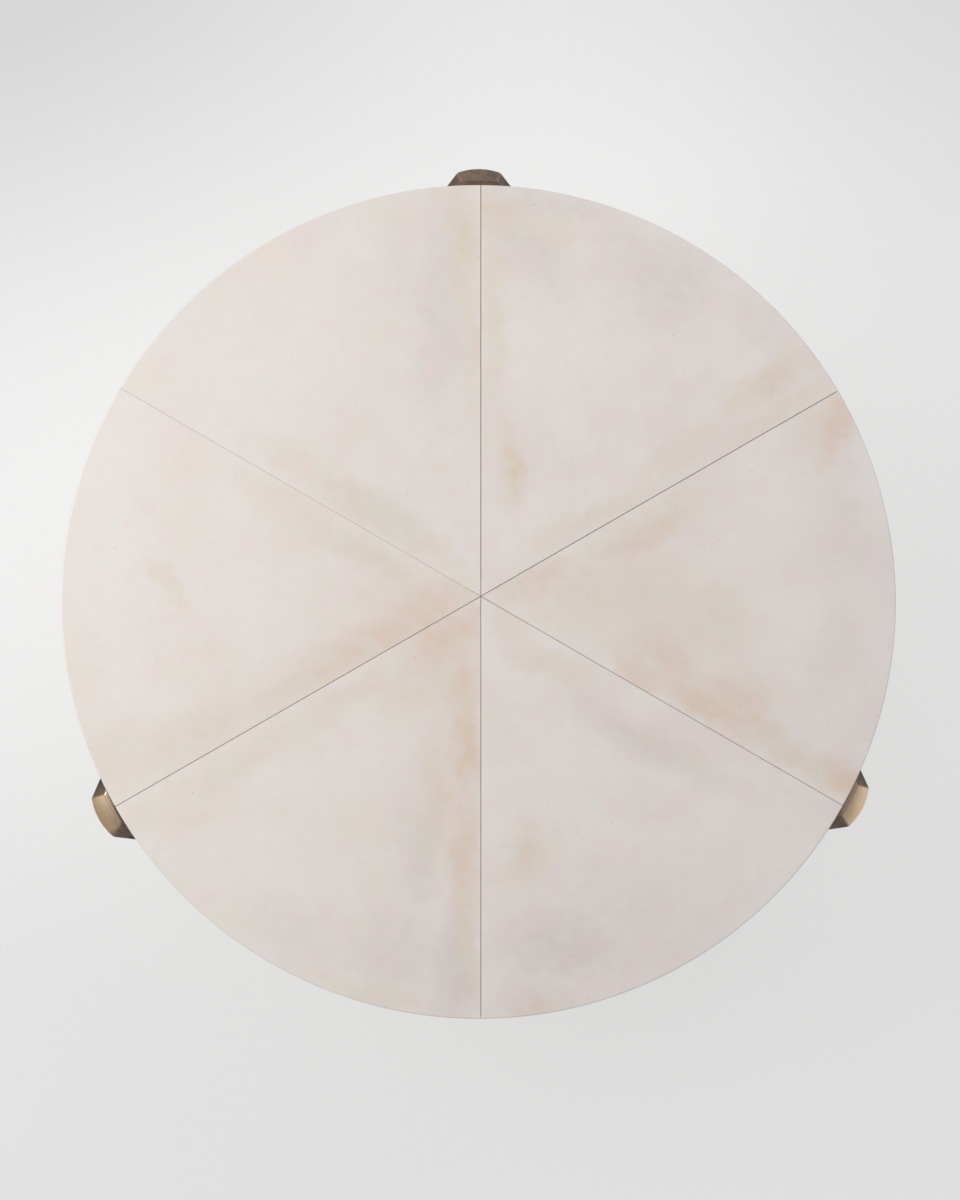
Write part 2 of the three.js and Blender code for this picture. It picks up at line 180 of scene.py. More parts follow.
class Finish:
    """One material: its nodes lead to a Principled shader. The studio's light is made so as well."""

    def __init__(self, name, owner=None, shader="Principled BSDF"):
        self.material = owner or bpy.data.materials.new(name)
        self.material.use_nodes = True
        self.tree = self.material.node_tree
        self.shader = self.tree.nodes[shader]
        self.place = self.node("ShaderNodeTexCoord", {}, {}, "Object")

    def feed(self, socket, value):
        """Link a value to a socket, or set it there when it is the same all over."""
        if isinstance(value, Value):
            self.tree.links.new(value.socket, socket)
        else:
            socket.default_value = value

    def node(self, kind, settings, inputs, output):
        """Add a node: its settings first, then its sockets."""
        made = self.tree.nodes.new(kind)
        for key, setting in settings.items():
            setattr(made, key, setting)
        for key, value in inputs.items():
            self.feed(made.inputs[key], value)
        return Value(self, made.outputs[output])

    def maths(self, operation, *numbers):
        return self.node("ShaderNodeMath", {"operation": operation}, dict(enumerate(numbers)), 0)

    def vectors(self, operation, *places, output="Vector"):
        settings = {"operation": operation}
        return self.node("ShaderNodeVectorMath", settings, dict(enumerate(places)), output)

    def greater(self, first, second):
        return self.maths("MAXIMUM", first, second)

    def height(self, place):
        return self.node("ShaderNodeSeparateXYZ", {}, {0: place}, "Z")

    def drawn_out(self, place, scale, turn=0.0):
        """The place turned about Z and stretched, for a pattern that runs one way."""
        inputs = {"Vector": place, "Rotation": (0, 0, turn), "Scale": scale}
        return self.node("ShaderNodeMapping", {"vector_type": "POINT"}, inputs, "Vector")

    def noise(self, place, size, detail=3.0, roughness=0.55, output="Fac"):
        """Soft clouds of about a size in metres, from 0 to 1."""
        inputs = {"Vector": place, "Scale": 1 / size, "Detail": detail, "Roughness": roughness}
        return self.node("ShaderNodeTexNoise", {}, inputs, output)

    def cells(self, place, size):
        """Cells of about a size in metres, as the distance to each cell's middle."""
        return self.node("ShaderNodeTexVoronoi", {}, {"Vector": place, "Scale": 1 / size}, "Distance")

    def step(self, value, low, high):
        """A soft step from 0 at the low value to 1 at the high one."""
        settings = {"interpolation_type": "SMOOTHSTEP"}
        inputs = {"Value": value, "From Min": low, "From Max": high}
        return self.node("ShaderNodeMapRange", settings, inputs, "Result")

    def between(self, value, low, high):
        """A share of 0 to 1 as a value between two numbers."""
        return low + value * (high - low)

    def blend(self, share, first, second):
        """Mix two colours."""
        settings = {"data_type": "RGBA", "clamp_factor": True}
        return self.node("ShaderNodeMix", settings, {0: share, 6: first, 7: second}, 2)

    def strayed(self, place, size, reach):
        """The place pushed about by clouds, so that what is drawn on it gets ragged edges."""
        clouds = self.noise(place, size, detail=4.0, roughness=0.6, output="Color")
        push = self.vectors("SUBTRACT", clouds, (0.5, 0.5, 0.5))
        push = self.vectors("MULTIPLY", push, (reach, reach, 0))
        return self.vectors("ADD", place, push)

    def ray(self, kind):
        """1 for rays of one kind and 0 for the rest."""
        return self.node("ShaderNodeLightPath", {}, {}, kind)

    def attribute(self, name):
        return self.node("ShaderNodeAttribute", {"attribute_name": name}, {}, "Fac")

    def bump(self, height, distance):
        """The slope of a relief, of which a height of 1 stands a distance proud."""
        return self.node("ShaderNodeBump", {}, {"Distance": distance, "Height": height}, "Normal")

    def finished(self, **sockets):
        """Set the shader's sockets, written with an underscore for each space."""
        for key, value in sockets.items():
            self.feed(self.shader.inputs[key.replace("_", " ")], value)
        return self.material


# The parchment: low clouds all over, and the marks of each hide where they lie

PARCHMENT_PALE = paint(225, 219, 215)
PARCHMENT_CREAM = paint(223, 214, 206)
PARCHMENT_LILAC = paint(219, 209, 206)
PARCHMENT_GREEN = paint(217, 217, 206)
PARCHMENT_PINK = paint(225, 207, 207)
PARCHMENT_TAN = paint(214, 202, 184)
PARCHMENT_RUST = paint(215, 195, 178)
PARCHMENT_SMOKE = paint(203, 192, 188)
PARCHMENT_SPECK = paint(120, 96, 78)
# The colour of the painted shade along the seams
PARCHMENT_SEAM_SHADE = paint(84, 70, 60)

# The marks of the hides: hide and kind, millimetres right of and above the top's middle, half the
# length and width in millimetres, turn in degrees, and depth
HIDE_MARKS = [
    (1, "tan", -18, 399, 68, 22, 90, 0.85),
    (1, "tan", -10, 286, 88, 13, 90, 0.5),
    (1, "smoke", -45, 324, 142, 37, 90, 0.55),
    (1, "smoke", -86, 379, 55, 37, 90, 0.3),
    (1, "tan", -198, 147, 61, 24, -28, 0.4),
    (1, "tan", -143, 105, 66, 20, -30, 0.6),
    (1, "tan", -61, 59, 66, 18, -36, 0.45),
    (1, "smoke", -104, 84, 60, 26, -30, 0.45),
    (1, "pale", -253, 245, 109, 72, -10, 0.95),
    (1, "pale", -187, 335, 88, 55, 20, 0.6),
    (1, "pale", -340, 291, 55, 44, 30, 0.5),
    (2, "rust", -96, -38, 92, 30, 28, 1.0),
    (2, "rust", -130, -53, 50, 18, 30, 0.8),
    (2, "rust", -102, -42, 44, 24, 28, 0.7),
    (2, "tan", -198, -96, 98, 28, 30, 0.75),
    (2, "tan", -302, -150, 120, 35, 28, 0.55),
    (2, "tan", -406, -185, 66, 37, 40, 0.45),
    (2, "tan", -119, 40, 98, 22, -32, 0.75),
    (2, "tan", -209, 97, 88, 18, -30, 0.45),
    (2, "tan", -45, 5, 55, 33, 0, 0.6),
    (2, "tan", -118, 6, 38, 26, 0, 0.4),
    (2, "tan", -340, 18, 39, 12, -52, 0.6),
    (2, "tan", -436, -75, 50, 26, 90, 0.15),
    (2, "pale", -263, 16, 88, 44, 0, 0.6),
    (2, "pale", -400, 155, 77, 57, 50, 0.9),
    (2, "pale", -402, 30, 120, 72, 85, 0.95),
    (3, "rust", -36, -41, 53, 33, 20, 0.95),
    (3, "rust", -18, -103, 55, 24, 90, 0.8),
    (3, "rust", -16, -166, 70, 19, 90, 0.95),
    (3, "rust", -50, -228, 48, 18, 90, 0.4),
    (3, "tan", -50, -196, 100, 24, 90, 0.6),
    (3, "rust", -20, -278, 77, 19, 90, 0.85),
    (3, "tan", -12, -365, 66, 13, 90, 0.7),
    (3, "tan", -61, -92, 61, 44, 30, 0.6),
    (3, "tan", -143, -113, 88, 20, 30, 0.5),
    (3, "tan", -269, -185, 98, 22, 30, 0.5),
    (3, "tan", -316, -243, 28, 14, 20, 0.55),
    (3, "tan", -373, -247, 37, 22, 40, 0.4),
    (3, "smoke", -69, -278, 77, 28, 90, 0.6),
    (3, "smoke", -28, -403, 77, 33, 90, 0.85),
    (3, "smoke", -94, -387, 66, 55, 0, 0.5),
    (3, "tan", -121, -431, 66, 13, -14, 0.5),
    (3, "smoke", -198, -365, 66, 39, -30, 0.3),
    (3, "pale", -258, -278, 92, 48, 10, 0.7),
    (3, "pale", -149, -190, 88, 44, 28, 0.6),
    (4, "tan", 28, -30, 39, 22, -58, 0.5),
    (4, "tan", 76, -72, 59, 20, -26, 0.6),
    (4, "smoke", 174, -155, 98, 22, -32, 0.65),
    (4, "tan", 240, -185, 98, 15, -30, 0.3),
    (4, "rust", 44, -282, 26, 18, 70, 0.6),
    (4, "tan", 45, -280, 48, 33, 70, 0.5),
    (4, "smoke", 87, -381, 88, 44, 0, 0.8),
    (4, "smoke", 59, -436, 66, 26, 0, 0.6),
    (4, "rust", 56, -448, 31, 10, 4, 0.8),
    (4, "smoke", 174, -349, 77, 55, 30, 0.4),
    (4, "smoke", 130, -310, 66, 44, 0, 0.2),
    (4, "pale", 92, -185, 77, 59, -20, 0.6),
    (4, "pale", 229, -256, 88, 44, 30, 0.4),
    (4, "pale", 311, -278, 55, 44, 40, 0.6),
    (5, "rust", 66, 25, 33, 13, 24, 0.75),
    (5, "rust", 180, 66, 48, 15, 26, 0.85),
    (5, "rust", 143, 53, 28, 13, 20, 0.5),
    (5, "rust", 206, -60, 39, 24, -44, 0.8),
    (5, "rust", 178, -88, 30, 18, -30, 0.65),
    (5, "rust", 284, -108, 48, 26, -15, 0.7),
    (5, "rust", 48, 4, 44, 18, 0, 0.5),
    (5, "rust", 246, -124, 54, 20, -32, 1.0),
    (5, "rust", 288, -131, 50, 13, -32, 0.6),
    (5, "rust", 402, -201, 37, 20, -30, 1.0),
    (5, "rust", 396, 192, 20, 50, -20, 0.95),
    (5, "tan", 141, 7, 131, 50, 6, 0.6),
    (5, "tan", 192, 80, 88, 31, 28, 0.65),
    (5, "tan", 372, 180, 50, 26, 40, 0.5),
    (5, "tan", 256, -31, 77, 50, -40, 0.55),
    (5, "tan", 196, -75, 120, 33, -32, 0.6),
    (5, "tan", 333, -166, 88, 18, -32, 0.75),
    (5, "smoke", 387, -70, 77, 37, 80, 0.3),
    (5, "smoke", 398, 73, 55, 33, 80, 0.25),
    (5, "pale", 322, 78, 66, 66, 0, 0.6),
    (5, "pale", 349, -26, 55, 44, 0, 0.4),
    (5, "pale", 388, -112, 66, 46, 70, 0.6),
    (6, "tan", 23, 420, 37, 26, 0, 0.7),
    (6, "tan", 14, 318, 120, 18, 90, 0.5),
    (6, "tan", 82, 404, 50, 24, -10, 0.45),
    (6, "rust", 18, 431, 28, 11, 0, 0.6),
    (6, "smoke", 52, 381, 66, 37, -50, 0.55),
    (6, "smoke", 66, 436, 110, 24, -8, 0.5),
    (6, "rust", 35, 143, 37, 15, 98, 0.85),
    (6, "tan", 34, 140, 61, 26, 96, 0.55),
    (6, "tan", 130, 92, 98, 18, 28, 0.6),
    (6, "tan", 229, 163, 77, 22, 32, 0.6),
    (6, "tan", 319, 239, 72, 22, 36, 0.85),
    (6, "tan", 322, 200, 88, 20, 32, 0.65),
    (6, "rust", 319, 245, 28, 12, 40, 0.4),
    (6, "smoke", 209, 353, 72, 55, -30, 0.6),
    (6, "smoke", 154, 403, 48, 22, -16, 0.35),
    (6, "smoke", 87, 40, 66, 22, 30, 0.3),
    (6, "smoke", 305, 302, 66, 26, -50, 0.35),
    (6, "pale", 130, 275, 77, 48, -50, 0.55),
    (6, "pale", 59, 280, 55, 39, 90, 0.3),
]

# A mark is full up to the first share of its half length and width, and gone at the second. It has
# no end in height, so the rim below takes the same stain.
MARK_FULL = 0.1
MARK_GONE = 1.4
MARK_HEIGHT = 1000


def mark_cover(finish, place, hide, kind):
    """How deep a hide's marks of one kind lie at a place. Each is a soft oval."""
    cover = 0.0
    own_marks = [mark[2:] for mark in HIDE_MARKS if mark[:2] == (hide, kind)]
    for right, above, half_length, half_width, turn, depth in own_marks:
        middle = axis + MM * Vector((right, above, 0))
        inputs = {
            "Vector": place,
            "Location": (middle.x, middle.y, 0),
            "Rotation": (0, 0, math.radians(turn)),
            "Scale": (half_length * MM, half_width * MM, MARK_HEIGHT),
        }
        oval = finish.node("ShaderNodeMapping", {"vector_type": "TEXTURE"}, inputs, "Vector")
        out = finish.vectors("LENGTH", oval, output="Value")
        cover = finish.greater(cover, finish.step(out, MARK_GONE, MARK_FULL) * depth)
    return cover


def parchment_finish(hide):
    """Glazed goatskin. Each hide has its own clouds, because it reads them in a place of its own."""
    finish = Finish(f"parchment_{hide}")
    own = finish.vectors("ADD", finish.place, (0.83 * hide, 0.57 * hide, 0.31 * hide))
    ragged = finish.strayed(finish.strayed(finish.place, 60 * MM, 46 * MM), 14 * MM, 16 * MM)

    clouds = finish.noise(own, 95 * MM, detail=5.0, roughness=0.6)
    grain = finish.noise(own, 16 * MM, detail=5.0, roughness=0.65)
    speckle = finish.noise(own, 3.2 * MM, detail=4.0, roughness=0.7)

    broken = 0.55 + 0.45 * finish.step(0.5 * clouds + 0.5 * grain, 0.36, 0.62)
    pale = mark_cover(finish, ragged, hide, "pale")
    smoke = mark_cover(finish, ragged, hide, "smoke") * broken
    tan = mark_cover(finish, ragged, hide, "tan") * broken
    rust = mark_cover(finish, ragged, hide, "rust") * broken

    # Creamier on the left and cooler on the right, with the hide's own marks over that
    side = finish.node("ShaderNodeSeparateXYZ", {}, {0: finish.place}, "X")
    cool = finish.step(side + 0.35 * clouds, -0.25, 0.6)
    base = finish.blend(cool, PARCHMENT_CREAM, PARCHMENT_LILAC)
    base = finish.blend(0.8 * finish.step(clouds, 0.35, 0.65), base, PARCHMENT_PALE)
    base = finish.blend(pale, base, PARCHMENT_PALE)
    base = finish.blend(0.95 * smoke, base, PARCHMENT_SMOKE)
    base = finish.blend(1.1 * tan, base, PARCHMENT_TAN)
    base = finish.blend(1.15 * rust, base, PARCHMENT_RUST)
    base = finish.blend(0.12 * finish.step(grain, 0.45, 0.75), base, PARCHMENT_RUST)

    # A faint flush of green here and of pink there
    flush = finish.noise(own, 30 * MM, detail=3.0)
    base = finish.blend(0.3 * finish.step(flush, 0.45, 0.75), base, PARCHMENT_GREEN)
    base = finish.blend(0.3 * finish.step(flush, 0.55, 0.25), base, PARCHMENT_PINK)

    # Fine veins, follicles, and a few dark specks
    vein_lines = finish.maths("ABSOLUTE", finish.noise(own, 40 * MM, detail=2.0) - 0.5)
    veins = 1 - finish.step(vein_lines, 0.0, 0.012)
    follicles = 1 - finish.step(finish.cells(own, 1.5 * MM), 0.1, 0.3)
    specks = 1 - finish.step(finish.cells(own, 38 * MM), 0.012, 0.03)
    base = finish.blend(0.10 * veins, base, PARCHMENT_SMOKE)
    base = finish.blend(0.12 * follicles * finish.step(grain, 0.4, 0.6), base, PARCHMENT_RUST)
    base = finish.blend(0.35 * specks, base, PARCHMENT_SPECK)

    # Painted shade darkens the seams and the rounded corners beside them
    edge = finish.attribute("painted_seam_shade")
    base = finish.blend(edge * (0.6 + 0.8 * grain), base, PARCHMENT_SEAM_SHADE)

    relief = 0.5 * speckle - 0.35 * follicles + 0.8 * grain + 0.25 * veins
    return finish.finished(
        Base_Color=base,
        Roughness=finish.between(speckle, 0.34, 0.5),
        Coat_Weight=0.3,
        Coat_Roughness=0.22,
        Normal=finish.bump(relief, 0.12 * MM),
    )


# The brass casting: rubbed bright on the bowed front and the edges, dark in the facets, with a painted
# highlight on parts of the heads

BRASS_PAINTED_HIGHLIGHT = paint(255, 238, 214)
BRASS_BRIGHT = paint(232, 202, 166)
BRASS_GOLDEN = paint(176, 150, 112)
BRASS_ROSY = paint(164, 140, 122)
BRASS_BROWN = paint(98, 76, 60)
BRASS_DARK = paint(38, 26, 20)
BRASS_PIT = paint(40, 32, 26)

# How far from the leg's middle line a facet starts to darken, and where it is darkest
TIP_DARKENS = (20 * MM, 38 * MM)

# From the shoulder down to this share of its height, stains set in
STAINED_BELOW = 0.8


def cast_brass_finish():
    """Rubbed brass, with a painted highlight. Attributes hold how rubbed and worn it is, which faces
    are corners and how far out it is.
    """
    finish = Finish("cast_brass")
    rubbed = finish.attribute("rubbed")
    head_wear_and_highlight = finish.attribute("head_wear_and_highlight")
    edge = finish.attribute("edge")
    across = finish.attribute("across")
    patches = finish.noise(finish.place, 26 * MM, detail=5.0, roughness=0.6)
    pits = finish.noise(finish.place, 1.4 * MM, detail=3.0, roughness=0.6)
    lumps = finish.noise(finish.place, 9 * MM, detail=3.0)
    strokes = finish.noise(finish.drawn_out(finish.place, (1, 1, 0.04)), 0.7 * MM, detail=2.0)
    streaks = finish.noise(finish.drawn_out(finish.place, (1, 1, 0.12)), 6 * MM, detail=3.0)
    height = finish.height(finish.place)

    # How far it is worn: unevenly, less where the shaft is stained, and more along the corners. Above
    # 0.95 it is a painted highlight.
    stained = finish.step(patches + 0.4 * (streaks - 0.5), 0.45, 0.75)
    shaft = finish.step(height, shoulder, STAINED_BELOW * shoulder)
    wear_and_highlight = rubbed * head_wear_and_highlight + 0.2 * (patches - 0.5) + 0.12 * (lumps - 0.5) + 0.1 * (streaks - 0.5)
    wear_and_highlight = wear_and_highlight - 0.24 * stained * shaft
    uneven = finish.step(patches + 0.2 * lumps, 0.3, 0.8)
    wear_and_highlight = finish.greater(wear_and_highlight, edge * finish.between(uneven, 0.14, 0.36))

    # Dark at the facets' tips and brown near the front, then golden or rosy, bright where bare, and a
    # painted highlight beyond that
    near_front = 1 - finish.step(across + 6 * MM * (lumps - 0.5), *TIP_DARKENS)
    colour = finish.blend(near_front, BRASS_DARK, BRASS_BROWN)
    colour = finish.blend(0.3 * stained * (1 - edge), colour, BRASS_ROSY)
    high_up = finish.step(height + 10 * MM * (patches - 0.5), head_bottom, head_top)
    dull = finish.blend(high_up, BRASS_GOLDEN, BRASS_ROSY)
    colour = finish.blend(finish.step(wear_and_highlight, 0.0, 0.45), colour, dull)
    colour = finish.blend(finish.step(wear_and_highlight, 0.4, 0.95), colour, BRASS_BRIGHT)
    # A painted highlight where the wear value passes 0.95
    colour = finish.blend(finish.step(wear_and_highlight, 0.95, 1.3), colour, BRASS_PAINTED_HIGHLIGHT)
    bare = finish.step(wear_and_highlight, 0.2, 0.85)
    colour = finish.blend(0.5 * finish.step(pits, 0.6, 0.8) * (1 - bare), colour, BRASS_PIT)
    metal = finish.greater(finish.between(bare, 0.1, 1.0), 0.6 * rubbed)
    roughness = finish.between(bare, 0.46, 0.3) + 0.1 * (strokes - 0.5)
    relief = 0.7 * lumps + 0.35 * pits * (1 - 0.7 * bare) + 0.12 * strokes * bare
    return finish.finished(
        Base_Color=colour,
        Metallic=metal,
        Roughness=roughness,
        Specular_IOR_Level=0.1,
        Normal=finish.bump(relief, 0.4 * MM),
    )


def rough_brass_finish():
    """Brass as it comes from the sand, where no hand reaches."""
    finish = Finish("rough_brass")
    sand = finish.noise(finish.place, 1.1 * MM, detail=4.0, roughness=0.65)
    patches = finish.noise(finish.place, 14 * MM, detail=4.0)
    colour = finish.blend(finish.step(patches, 0.35, 0.65), paint(104, 88, 66), paint(146, 126, 90))
    return finish.finished(
        Base_Color=colour,
        Metallic=1.0,
        Roughness=finish.between(sand, 0.5, 0.68),
        Normal=finish.bump(sand, 0.3 * MM),
    )


PLY_COUNT = 9


def plywood_finish():
    """Birch ply: its layers show on the edge, and its figure and growth rings on the faces."""
    finish = Finish("plywood")
    ply_thickness = (disc_high.z - disc_low.z) / PLY_COUNT
    level = (finish.height(finish.place) - disc_low.z) / ply_thickness
    layer = finish.maths("PINGPONG", level, 1.0)
    along = finish.drawn_out(finish.place, (1, 14, 14))
    figure = finish.noise(along, 60 * MM, detail=5.0, roughness=0.6)
    pores = finish.noise(finish.drawn_out(finish.place, (1, 22, 22)), 9 * MM, detail=3.0)
    growth = 26 * finish.noise(finish.drawn_out(finish.place, (1, 3.5, 3.5)), 300 * MM, detail=1.5)
    rings = finish.maths("PINGPONG", growth + 0.5 * figure, 1.0)
    pale = finish.blend(figure, paint(208, 180, 140), paint(188, 155, 113))
    pale = finish.blend(0.4 * finish.step(rings, 0.55, 1.0), pale, paint(160, 124, 84))
    colour = finish.blend(0.55 * finish.step(layer, 0.42, 0.5), pale, paint(140, 106, 74))
    colour = finish.blend(0.3 * finish.step(pores, 0.56, 0.68), colour, paint(120, 88, 58))
    return finish.finished(
        Base_Color=colour,
        Roughness=finish.between(figure, 0.55, 0.72),
        Normal=finish.bump(0.6 * pores + 0.4 * figure, 0.25 * MM),
    )


def board_finish():
    """The fibreboard inside a panel, which shows within the hem."""
    finish = Finish("board")
    fibres = finish.noise(finish.drawn_out(finish.place, (1, 5, 1)), 3 * MM, detail=5.0)
    patches = finish.noise(finish.place, 40 * MM)
    colour = finish.blend(fibres, paint(172, 138, 98), paint(136, 104, 70))
    colour = finish.blend(0.3 * patches, colour, paint(186, 156, 118))
    return finish.finished(
        Base_Color=colour,
        Roughness=finish.between(fibres, 0.75, 0.9),
        Normal=finish.bump(fibres, 0.3 * MM),
    )


def painted_steel_finish():
    """Black paint over steel, scuffed all over and chipped along the corners."""
    finish = Finish("painted_steel")
    peel = finish.noise(finish.place, 2.2 * MM, detail=2.0)
    scuffs = finish.noise(finish.drawn_out(finish.place, (1, 7, 1), 0.6), 12 * MM, detail=4.0)
    chips = finish.step(finish.noise(finish.place, 5 * MM, detail=4.0), 0.6, 0.66)
    bare = finish.attribute("edge") * chips
    colour = finish.blend(0.35 * finish.step(scuffs, 0.5, 0.7), paint(40, 40, 42), paint(72, 72, 74))
    colour = finish.blend(bare, colour, paint(142, 140, 136))
    return finish.finished(
        Base_Color=colour,
        Metallic=bare,
        Roughness=finish.between(scuffs, 0.38, 0.6),
        Normal=finish.bump(peel - bare, 0.15 * MM),
    )


def zinc_finish():
    """Zinc plate with a cloudy bloom and the lines that turning left."""
    finish = Finish("zinc")
    bloom = finish.noise(finish.place, 6 * MM, detail=4.0)
    lines = finish.noise(finish.drawn_out(finish.place, (1, 1, 9)), 1.2 * MM, detail=3.0)
    colour = finish.blend(finish.step(bloom, 0.35, 0.7), paint(186, 188, 190), paint(146, 148, 152))
    colour = finish.blend(0.3 * finish.step(lines, 0.55, 0.7), colour, paint(110, 108, 104))
    return finish.finished(
        Base_Color=colour,
        Metallic=1.0,
        Roughness=finish.between(bloom, 0.26, 0.44),
        Normal=finish.bump(lines, 0.05 * MM),
    )


SCUFF_HEIGHT = 4 * MM


def nylon_finish():
    """Black nylon, dusty, and scuffed where it meets the floor."""
    finish = Finish("nylon")
    grain = finish.noise(finish.place, 0.7 * MM, detail=3.0)
    dust = finish.noise(finish.place, 7 * MM, detail=5.0)
    low = 1 - finish.step(finish.height(finish.place), 0.0, SCUFF_HEIGHT)
    scuffed = low * finish.step(dust, 0.42, 0.62)
    colour = finish.blend(0.25 * dust, paint(34, 34, 35), paint(56, 55, 54))
    colour = finish.blend(0.5 * scuffed, colour, paint(98, 95, 90))
    return finish.finished(
        Base_Color=colour,
        Roughness=finish.between(dust, 0.48, 0.66),
        Normal=finish.bump(grain, 0.08 * MM),
    )


# The floor runs from its brightest grey to the grey of the distance. Its brightness, painted light, is
# a share that tilts across the floor, is gone at the first distance from the table and full at the
# second.
FLOOR_HALF = 40
FLOOR_BRIGHT = paint(252, 252, 252)
FLOOR_FAR = paint(214, 214, 214)
FLOOR_NEAR_SHARE = 0.50
FLOOR_TILT = (0.02, 0.12, 0)
FLOOR_FADES = (2.6, 1.4)

# A soft painted pool of light: its middle, its reach and depth, and how much it is squashed front to
# back
FLOOR_SPOT = (-0.41, 0.42, 0)
FLOOR_SPOT_REACH = 1.23
FLOOR_SPOT_DEPTH = 0.5
FLOOR_SPOT_SQUASH = 1.43

# Where the painted light falls off into painted shade: the middle, the reach and the depth of each dim
# corner
FLOOR_DIM_CORNERS = [((-0.76, 0.92, 0), 1.19, 0.8), ((0.82, 1.22, 0), 1.01, 0.65)]

# How much of the floor is glow near the table, and between which distances that grows to all of it
FLOOR_GLOW = 0.7
FLOOR_ALL_GLOW = (1.6, 6.0)
STUDIO_LIGHT = (0.58, 0.58, 0.58, 1)


def floor_finish():
    """A pale grey studio floor, seen from above only. Part of it is glow, so shadows stay faint."""
    finish = Finish("floor")
    out = finish.vectors("LENGTH", finish.place, output="Value")
    tilt = finish.vectors("DOT_PRODUCT", finish.place, FLOOR_TILT, output="Value")
    bright = (FLOOR_NEAR_SHARE + tilt) * finish.step(out, *FLOOR_FADES)
    squashed = finish.drawn_out(finish.place, (1, FLOOR_SPOT_SQUASH, 1))
    from_spot = finish.vectors("DISTANCE", squashed, FLOOR_SPOT, output="Value")
    bright = bright + FLOOR_SPOT_DEPTH * finish.step(from_spot, FLOOR_SPOT_REACH, 0.0)
    for corner, reach, depth in FLOOR_DIM_CORNERS:
        away = finish.vectors("DISTANCE", finish.place, corner, output="Value")
        bright = bright - depth * finish.step(away, reach, 0.0)
    grey = finish.blend(bright, FLOOR_FAR, FLOOR_BRIGHT)
    finish.finished(Base_Color=grey, Roughness=0.9)
    camera_ray = finish.ray("Is Camera Ray")
    seen = finish.greater(camera_ray, finish.ray("Is Glossy Ray"))
    share = seen * finish.between(finish.step(out, *FLOOR_ALL_GLOW), FLOOR_GLOW, 1)
    glow = finish.node("ShaderNodeEmission", {}, {"Color": grey, "Strength": 1.0}, "Emission")
    lit = Value(finish, finish.shader.outputs[0])
    mixed = finish.node("ShaderNodeMixShader", {}, {0: share, 1: lit, 2: glow}, 0)
    nothing = finish.node("ShaderNodeBsdfTransparent", {}, {}, 0)
    below = finish.node("ShaderNodeNewGeometry", {}, {}, "Backfacing") * camera_ray
    one_sided = finish.node("ShaderNodeMixShader", {}, {0: below, 1: mixed, 2: nothing}, 0)
    output = finish.tree.nodes["Material Output"]
    finish.feed(output.inputs["Surface"], one_sided)
    return finish.material


def studio_light():
    """Even pale light from all round. Where the camera sees past the floor, it has its far grey."""
    world = bpy.data.worlds.new("studio")
    light = Finish("studio", owner=world, shader="Background")
    tone = light.blend(light.ray("Is Camera Ray"), STUDIO_LIGHT, FLOOR_FAR)
    light.finished(Color=tone)
    bpy.context.scene.world = world


# Pieces

# Faces that turn more than this from each other meet in a sharp edge, in degrees
CREASE = 35
MOULDED_CREASE = 50


def make_piece(shape, name, finish, slot, body, *nodes, crease=CREASE):
    """Turn a finished shape into a piece that stands for its CAD nodes and rides on their body."""
    piece = meshed(name, shape, finish)
    piece.data.shade_smooth()
    piece.data.set_sharp_from_angle(angle=math.radians(crease))
    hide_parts(*nodes)
    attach(piece, body)
    return piece


def even_out_shading(piece):
    """Let the broad faces keep their own flat shading beside rounded edges."""
    weighted = piece.modifiers.new("even_shading", "WEIGHTED_NORMAL")
    weighted.keep_sharp = True


def round_off(shape, geom, radius, segments, affect="EDGES"):
    """Round some edges or points and return the new faces."""
    made = bmesh.ops.bevel(
        shape,
        geom=geom,
        offset=radius,
        offset_type="OFFSET",
        segments=segments,
        profile=0.5,
        affect=affect,
        clamp_overlap=False,
        material=-1,
    )
    return made["faces"]


HEM_WIDTH = 14 * MM
RIM_ROLL = 1.9 * MM
HEM_ROLL = 1.2 * MM
SEAM_ROLL = 0.5 * MM
SKIN_THICKNESS = 0.7 * MM
RIM_SEGMENTS = 480
RIM_ROLL_SEGMENTS = 5
SEAM_ROLL_SEGMENTS = 4

# A face lies level, or along a seam, when its normal points that way by at least this share
LEVEL = 0.99
ALONG_SEAM = 0.9999

# How near to a height and to the rim's radius a point counts as lying on them
HEIGHT_FIT = 0.01 * MM
RIM_FIT = 0.1 * MM

# How far each seam stands open and how deep its painted shade is, from the one over the first leg
# round. The rounded corner beside it takes a share of the painted shade.
CORNER_SEAM_SHADE = 0.4
SEAMS = [
    (0.34 * MM, 0.85),
    (0.06 * MM, 0.15),
    (0.28 * MM, 0.7),
    (0.28 * MM, 0.75),
    (0.22 * MM, 0.45),
    (0.32 * MM, 0.75),
]


def outline_of(shape, faces):
    """The edges round the outside of some faces."""
    inside = set(faces)
    return [edge for edge in shape.edges if sum(face in inside for face in edge.link_faces) == 1]


def flat_wedge(seams):
    """A wedge of a disc as a flat sheet, with the hem's line cut into it along seams and rim."""
    shape = bmesh.new()
    half_step = Matrix.Rotation(math.pi / RIM_SEGMENTS, 4, "Z")
    bmesh.ops.create_circle(
        shape, cap_ends=True, segments=RIM_SEGMENTS, radius=rim_radius, matrix=half_step
    )
    bmesh.ops.inset_region(
        shape, faces=shape.faces[:], use_boundary=True, use_even_offset=True, thickness=HEM_WIDTH
    )
    for outward, gap, _ in seams:
        for depth, clear in ((gap / 2, True), (gap / 2 + HEM_WIDTH, False)):
            bmesh.ops.bisect_plane(
                shape,
                geom=[*shape.verts, *shape.edges, *shape.faces],
                plane_co=-outward * depth,
                plane_no=outward,
                clear_outer=clear,
            )
    return shape


